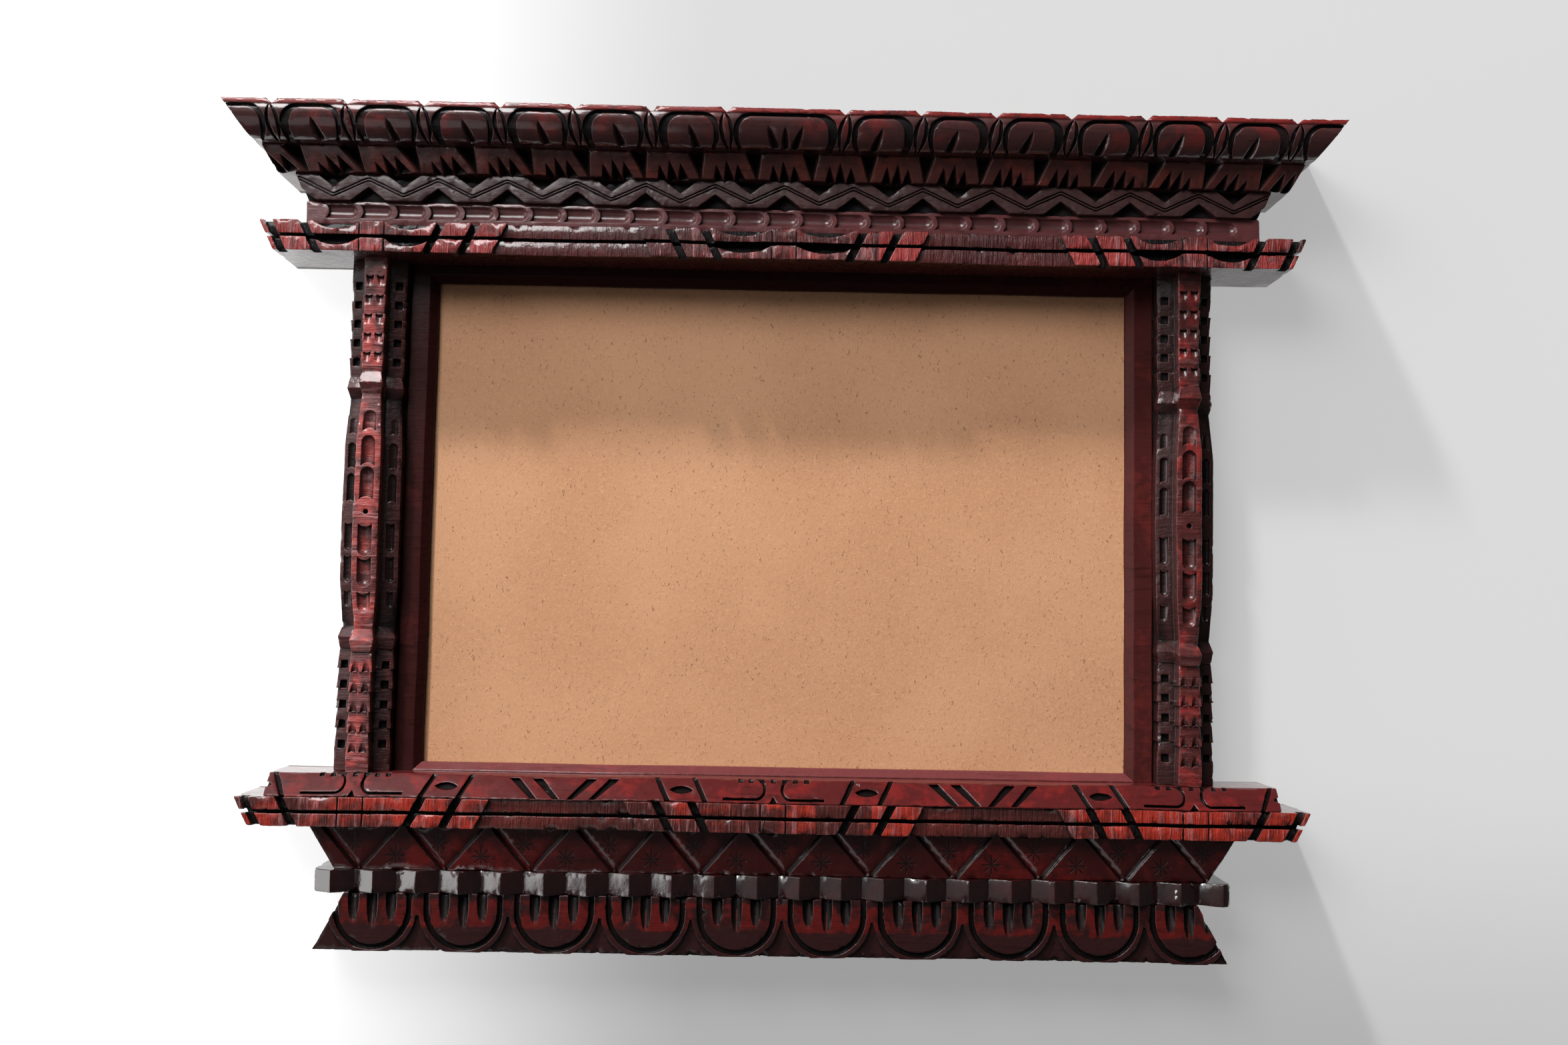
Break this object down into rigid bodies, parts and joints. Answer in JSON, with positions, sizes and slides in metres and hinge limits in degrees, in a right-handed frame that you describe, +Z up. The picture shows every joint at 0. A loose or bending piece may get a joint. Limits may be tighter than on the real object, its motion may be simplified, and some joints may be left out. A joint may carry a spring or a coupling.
{
  "type": "picture frame",
  "caption": "Carved wooden window frame used as a picture frame: stacked moulded bands above and below, side posts, inner frame, backing board and rear hangers.",
  "frame": {"origin": "middle of the lintel's back face, on the wall plane", "axes": "+X to the viewer's right along the lintel, +Y into the wall, +Z up; the carved face looks towards -Y"},
  "size_m": [0.45, 0.048, 0.3371],
  "materials": {
    "red_lacquer": "glossy red-brown lacquer over carved hardwood, rubbed to bright red on the edges",
    "dark_lacquer": "glossy black-brown lacquer",
    "fibreboard": "bare matt fibreboard with fine flecks",
    "bare_wood": "bare turned wood",
    "steel": "zinc-plated",
    "brass": "dull brass plate"
  },
  "bodies": {
    "frame": {"crown_band": "red_lacquer", "leaf_band": "red_lacquer", "lintel": "red_lacquer", "left_post": "red_lacquer", "right_post": "red_lacquer", "sill_moulding": "red_lacquer", "sill_beam": "red_lacquer", "frieze_panel": "red_lacquer", "dentil_beam": "red_lacquer", "apron_band": "red_lacquer", "zigzag_band": "dark_lacquer", "bead_band": "dark_lacquer", "rail_top": "dark_lacquer", "rail_bottom": "dark_lacquer", "stile_left": "dark_lacquer", "stile_right": "dark_lacquer", "backing_board": "fibreboard", "cornice_pegs": "bare_wood", "sill_pegs": "bare_wood", "button_screws": "steel", "hanger_strap_left": "brass", "hanger_strap_right": "brass", "hanger_screws": "brass"},
    "button_upper_left": {"button_upper_left": "steel"},
    "button_upper_right": {"button_upper_right": "steel"},
    "button_lower_left": {"button_lower_left": "steel"},
    "button_lower_right": {"button_lower_right": "steel"},
    "hanger_ring_left": {"hanger_ring_left": "brass"},
    "hanger_ring_right": {"hanger_ring_right": "brass"}
  },
  "joints": [
    {"name": "turn_upper_left", "type": "hinge", "parent": "frame", "child": "button_upper_left", "pos_m": [-0.15145, -0.0023, -0.05125], "axis": [0, 1, 0], "range_deg": [-90, 90]},
    {"name": "turn_upper_right", "type": "hinge", "parent": "frame", "child": "button_upper_right", "pos_m": [0.15145, -0.0023, -0.05125], "axis": [0, 1, 0], "range_deg": [-90, 90]},
    {"name": "turn_lower_left", "type": "hinge", "parent": "frame", "child": "button_lower_left", "pos_m": [-0.15145, -0.0023, -0.17525], "axis": [0, 1, 0], "range_deg": [-90, 90]},
    {"name": "turn_lower_right", "type": "hinge", "parent": "frame", "child": "button_lower_right", "pos_m": [0.15145, -0.0023, -0.17525], "axis": [0, 1, 0], "range_deg": [-90, 90]},
    {"name": "ring_swing_left", "type": "hinge", "parent": "frame", "child": "hanger_ring_left", "pos_m": [-0.1675, -0.0015, -0.03225], "axis": [1, 0, 0], "range_deg": [0, 180]},
    {"name": "ring_swing_right", "type": "hinge", "parent": "frame", "child": "hanger_ring_right", "pos_m": [0.1675, -0.0015, -0.03225], "axis": [1, 0, 0], "range_deg": [0, 180]}
  ]
}
